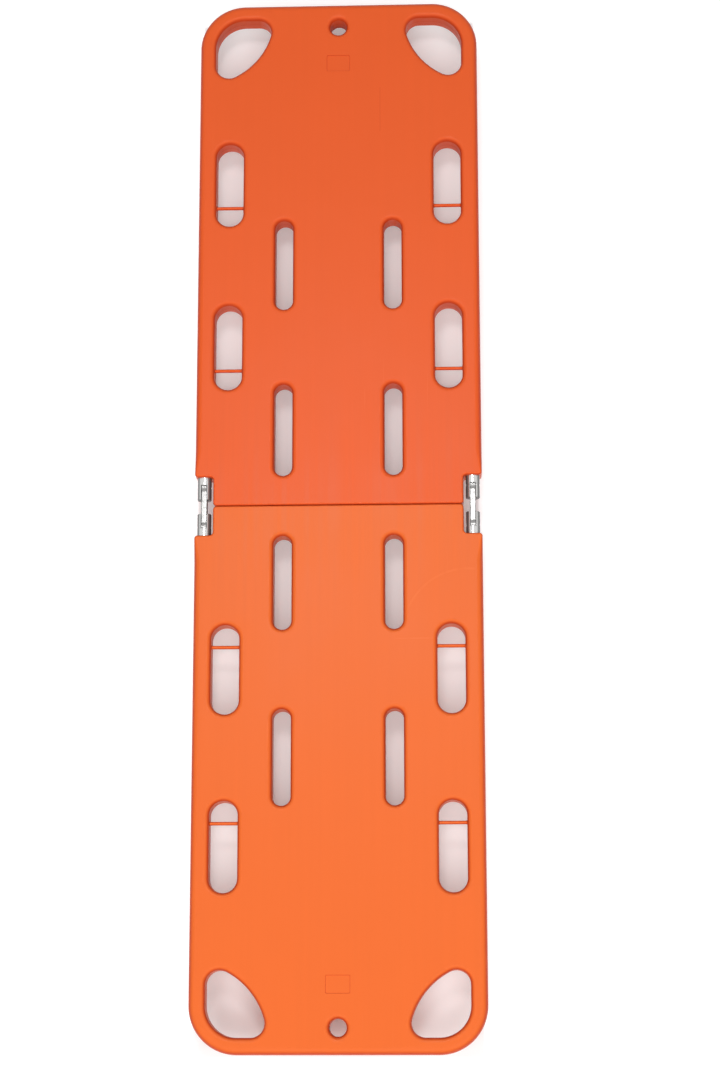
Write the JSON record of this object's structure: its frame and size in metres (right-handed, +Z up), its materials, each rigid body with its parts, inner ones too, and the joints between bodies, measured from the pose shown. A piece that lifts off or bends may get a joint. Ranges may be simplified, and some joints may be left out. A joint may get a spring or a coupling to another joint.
{
  "type": "folding spine board",
  "caption": "Flat orange plastic rescue board in hinged halves, with hand slots, strap slots and corner grips, that folds underside to underside.",
  "frame": {"origin": "middle of the board's underside, laid flat, on the seam between its halves", "axes": "+X to the right and +Y towards the head end, seen from above the patient face; +Z up through the thickness"},
  "size_m": [0.493, 1.84, 0.045],
  "materials": {
    "orange_polyethylene": "satin",
    "bright_hinge_steel": "polished",
    "anchor_steel": "satin"
  },
  "bodies": {
    "head_half": {"head_shell": "orange_polyethylene", "head_left_inner_strap_pin": "orange_polyethylene", "head_left_outer_strap_pin": "orange_polyethylene", "head_right_inner_strap_pin": "orange_polyethylene", "head_right_outer_strap_pin": "orange_polyethylene", "head_left_anchor_tube": "anchor_steel", "head_right_anchor_tube": "anchor_steel", "head_left_clevis": "bright_hinge_steel", "head_right_clevis": "bright_hinge_steel", "head_left_cross_pin": "anchor_steel", "head_right_cross_pin": "anchor_steel", "head_left_pivot_pin": "bright_hinge_steel", "head_right_pivot_pin": "bright_hinge_steel"},
    "hinge_links": {"left_link": "bright_hinge_steel", "right_link": "bright_hinge_steel"},
    "foot_half": {"foot_shell": "orange_polyethylene", "foot_left_inner_strap_pin": "orange_polyethylene", "foot_left_outer_strap_pin": "orange_polyethylene", "foot_right_inner_strap_pin": "orange_polyethylene", "foot_right_outer_strap_pin": "orange_polyethylene", "foot_left_anchor_tube": "anchor_steel", "foot_right_anchor_tube": "anchor_steel", "foot_left_clevis": "bright_hinge_steel", "foot_right_clevis": "bright_hinge_steel", "foot_left_cross_pin": "anchor_steel", "foot_right_cross_pin": "anchor_steel", "foot_left_pivot_pin": "bright_hinge_steel", "foot_right_pivot_pin": "bright_hinge_steel"}
  },
  "joints": [
    {"name": "links_fold", "type": "hinge", "parent": "head_half", "child": "hinge_links", "pos_m": [0, 0.035, 0.029], "axis": [1, 0, 0], "range_deg": [0, 90]},
    {"name": "foot_fold", "type": "hinge", "parent": "hinge_links", "child": "foot_half", "pos_m": [0, -0.035, 0.029], "axis": [1, 0, 0], "range_deg": [0, 90]}
  ],
  "couplings": [
    {"joint": "links_fold", "follows": "foot_fold", "ratio": 1}
  ]
}
